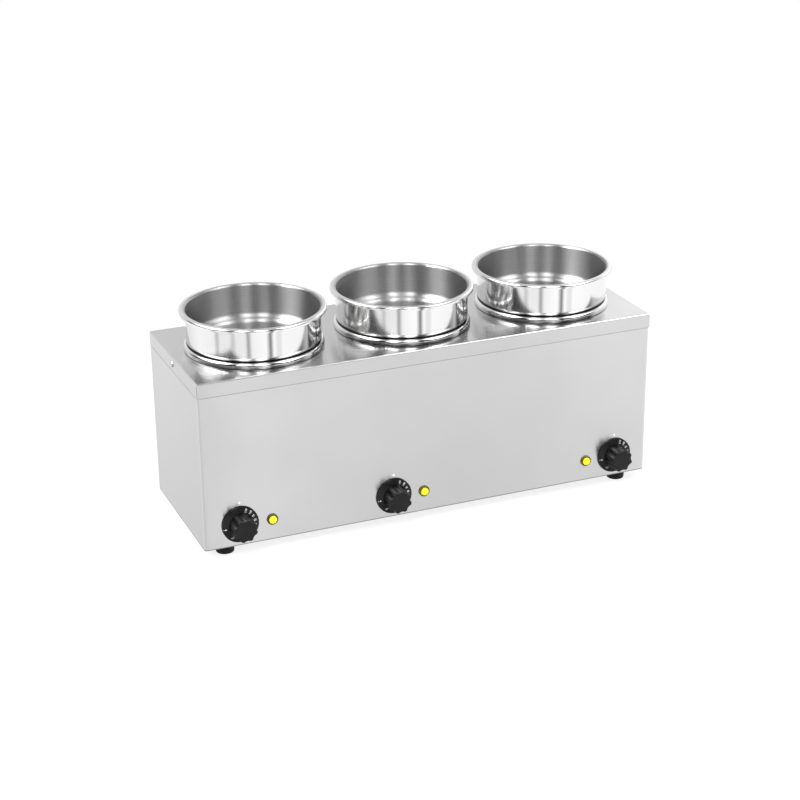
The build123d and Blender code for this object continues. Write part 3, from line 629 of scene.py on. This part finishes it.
studio = {
    "floorColour": grey(0.8),
    "floorLit": 0.3,  # how much of the seen floor is lit paper, which carries the shadow
    "floorGlow": 0.8,
    "floorReach": 30,
    "shadowFade": (0.45, 1.0),  # the lit floor fades into plain white between these radii
    "farGlow": (0.75, 1.0),  # beyond them: as light for the object, and as it is seen
    "skyDiffuse": 0.62,
    "skySeen": 1.0,
    "front": -22.5,  # azimuth of the camera's side of the room; the angles below count from it
    # how bright the room is in the metal, by degrees to the right
    "floorSeen": [
        (-180, 0.95), (-135, 0.88), (-100, 1.15), (-66, 1.1), (-60, 0.6), (-54, 1.05),
        (-37, 1.05), (-31, 0.7), (-25, 1.05), (-10, 1.05), (-5, 0.4), (1, 1.1), (14, 1.2),
        (25, 1.25), (32, 0.2), (38, 1.3), (44, 1.0), (49, 1.0), (54, 1.22), (62, 1.2),
        (120, 1.1), (179, 0.95),
    ],
    "walls": [
        (-180, 0.84), (-160, 0.96), (-125, 0.8), (-112, 0.05), (88, 0.04), (102, 0.9),
        (140, 1.4), (172, 1.3), (178, 0.82),
    ],
    "softBoxes": [
        (-180, 0.35), (-125, 1.0), (-110, 6.5), (-97, 11.0), (-88, 17.0), (-68, 17.0),
        (-60, 9.0), (-53, 0.02), (-32, 0.02), (-26, 5.0), (-20, 15.0), (-12, 9.0), (-4, 1.2),
        (4, 0.6), (10, 7.0), (18, 16.0), (27, 7.0), (32, 0.02), (50, 0.02), (58, 4.0),
        (66, 11.5), (78, 9.0), (92, 5.0), (108, 2.0), (125, 0.6), (179, 0.35),
    ],
    "ceiling": 0.85,
    # the floor's level once more, by degrees above the horizon
    "floorFall": [(-90, 0.42), (-45, 0.42), (-19, 1.13), (-11, 0.98), (0, 0.95)],
    "wallFoot": (-3, 3),  # degrees above the horizon, start and end of each soft change
    "wallTop": (30, 40),
    "boxTop": (56, 70),
}


# 1 for rays that come from the camera, through glass or, where asked, from glossy metal
def seenRays(tree, withGlossy=True):
    path = addNode(tree, "LightPath").outputs
    seen = calculate(tree, "ADD", path["Is Camera Ray"], path["Is Transmission Ray"], clamp=True)
    if withGlossy:
        seen = calculate(tree, "ADD", seen, path["Is Glossy Ray"], clamp=True)
    return seen


# brightness by angle round the room, as a ramp over the full turn
def roundRamp(tree, turn, stops):
    return rampColours(tree, turn, [((angle + 180) / 360, grey(level)) for angle, level in stops])


# changes from one part of the room to the next between two heights
def blendUp(tree, height, degrees, lower, upper):
    low, high = (math.sin(math.radians(angle)) for angle in degrees)
    return mixColours(tree, mapTo(tree, height, 0, 1, low, high, "SMOOTHSTEP"), lower, upper)


def makeSky(spec):
    world = bpy.data.worlds.new("studioSky")
    bpy.context.scene.world = world
    world.use_nodes = True
    tree = world.node_tree
    way = addNode(tree, "TexCoord").outputs["Generated"]
    front = math.radians(spec["front"])
    across = calculateVector(tree, "DOT_PRODUCT", way, (math.cos(front), math.sin(front), 0))
    ahead = calculateVector(tree, "DOT_PRODUCT", way, (math.sin(front), -math.cos(front), 0))
    angle = calculate(tree, "ARCTAN2", across, ahead)
    turn = mapTo(tree, angle, 0, 1, -math.pi, math.pi)
    height = splitAxes(tree, way)["Z"]
    # the ramp runs from straight down to the horizon
    falls = [(1 + math.sin(math.radians(rise)), grey(level)) for rise, level in spec["floorFall"]]
    fall = rampColours(tree, mapTo(tree, height, 0, 1, -1, 0), falls)
    floor = calculateVector(tree, "MULTIPLY", roundRamp(tree, turn, spec["floorSeen"]), fall)
    walls = blendUp(tree, height, spec["wallFoot"], floor, roundRamp(tree, turn, spec["walls"]))
    boxes = roundRamp(tree, turn, spec["softBoxes"])
    room = blendUp(tree, height, spec["wallTop"], walls, boxes)
    room = blendUp(tree, height, spec["boxTop"], room, grey(spec["ceiling"]))
    diffuse = addNode(tree, "LightPath").outputs["Is Diffuse Ray"]
    room = mixColours(tree, diffuse, room, grey(spec["skyDiffuse"]))
    room = mixColours(tree, seenRays(tree, withGlossy=False), room, grey(spec["skySeen"]))
    background = tree.nodes["Background"]
    tree.links.new(room, background.inputs["Color"])


def makeFloor(spec):
    material = bpy.data.materials.new("studioFloor")
    material.use_nodes = True
    tree = material.node_tree
    tree.nodes.clear()
    seen = seenRays(tree)
    shown = tuple(spec["floorLit"] * part for part in spec["floorColour"][:3]) + (1,)
    colours = rampColours(tree, seen, [(0.0, spec["floorColour"]), (1.0, shown)])
    paper = addNode(tree, "BsdfDiffuse", {"Color": colours})
    glowStrength = calculate(tree, "MULTIPLY", seen, spec["floorGlow"])
    glow = addNode(tree, "Emission", {"Strength": glowStrength})
    near = addNode(tree, "AddShader")
    tree.links.new(paper.outputs["BSDF"], near.inputs[0])
    tree.links.new(glow.outputs["Emission"], near.inputs[1])
    farStrength = mapTo(tree, seen, *spec["farGlow"], 0, 1)
    far = addNode(tree, "Emission", {"Strength": farStrength})
    reach = calculateVector(tree, "LENGTH", addNode(tree, "TexCoord").outputs["Object"])
    fade = mapTo(tree, reach, 0, 1, *spec["shadowFade"], "SMOOTHSTEP")
    mix = addNode(tree, "MixShader", {"Fac": fade})
    tree.links.new(near.outputs["Shader"], mix.inputs[1])
    tree.links.new(far.outputs["Emission"], mix.inputs[2])
    output = addNode(tree, "OutputMaterial")
    tree.links.new(mix.outputs["Shader"], output.inputs["Surface"])
    half = spec["floorReach"]
    corners = [(-half, -half, 0), (half, -half, 0), (half, half, 0), (-half, half, 0)]
    mesh = bpy.data.meshes.new("studioFloor")
    mesh.from_pydata(corners, [], [(0, 1, 2, 3)])
    mesh.materials.append(material)
    floor = bpy.data.objects.new("studioFloor", mesh)
    bpy.context.scene.collection.objects.link(floor)
    floor.visible_glossy = False  # the metal shows the room's own floor, which the sky holds


lamps = {
    "keyLamp": {"place": (-1.4, -1.6, 2.2), "size": 1.6, "power": 26},
    "fillLamp": {"place": (1.9, -0.9, 1.7), "size": 1.6, "power": 15},
    "backLamp": {"place": (0.3, 1.8, 2.0), "size": 1.6, "power": 16},
}
lampAim = Vector((0, 0, 0.15))  # the middle of the object


def makeLamp(name, spec):
    data = bpy.data.lights.new(name, "AREA")
    data.shape = "SQUARE"
    data.size = spec["size"]
    data.energy = spec["power"]
    lamp = bpy.data.objects.new(name, data)
    bpy.context.scene.collection.objects.link(lamp)
    lamp.location = spec["place"]
    lamp.visible_glossy = False
    lamp.rotation_mode = "QUATERNION"
    lamp.rotation_quaternion = (lampAim - lamp.location).to_track_quat("-Z", "Y")


makeSky(studio)
makeFloor(studio)
for lampName, lamp in lamps.items():
    makeLamp(lampName, lamp)
bpy.context.scene.view_settings.view_transform = "Standard"
print("studio lit")
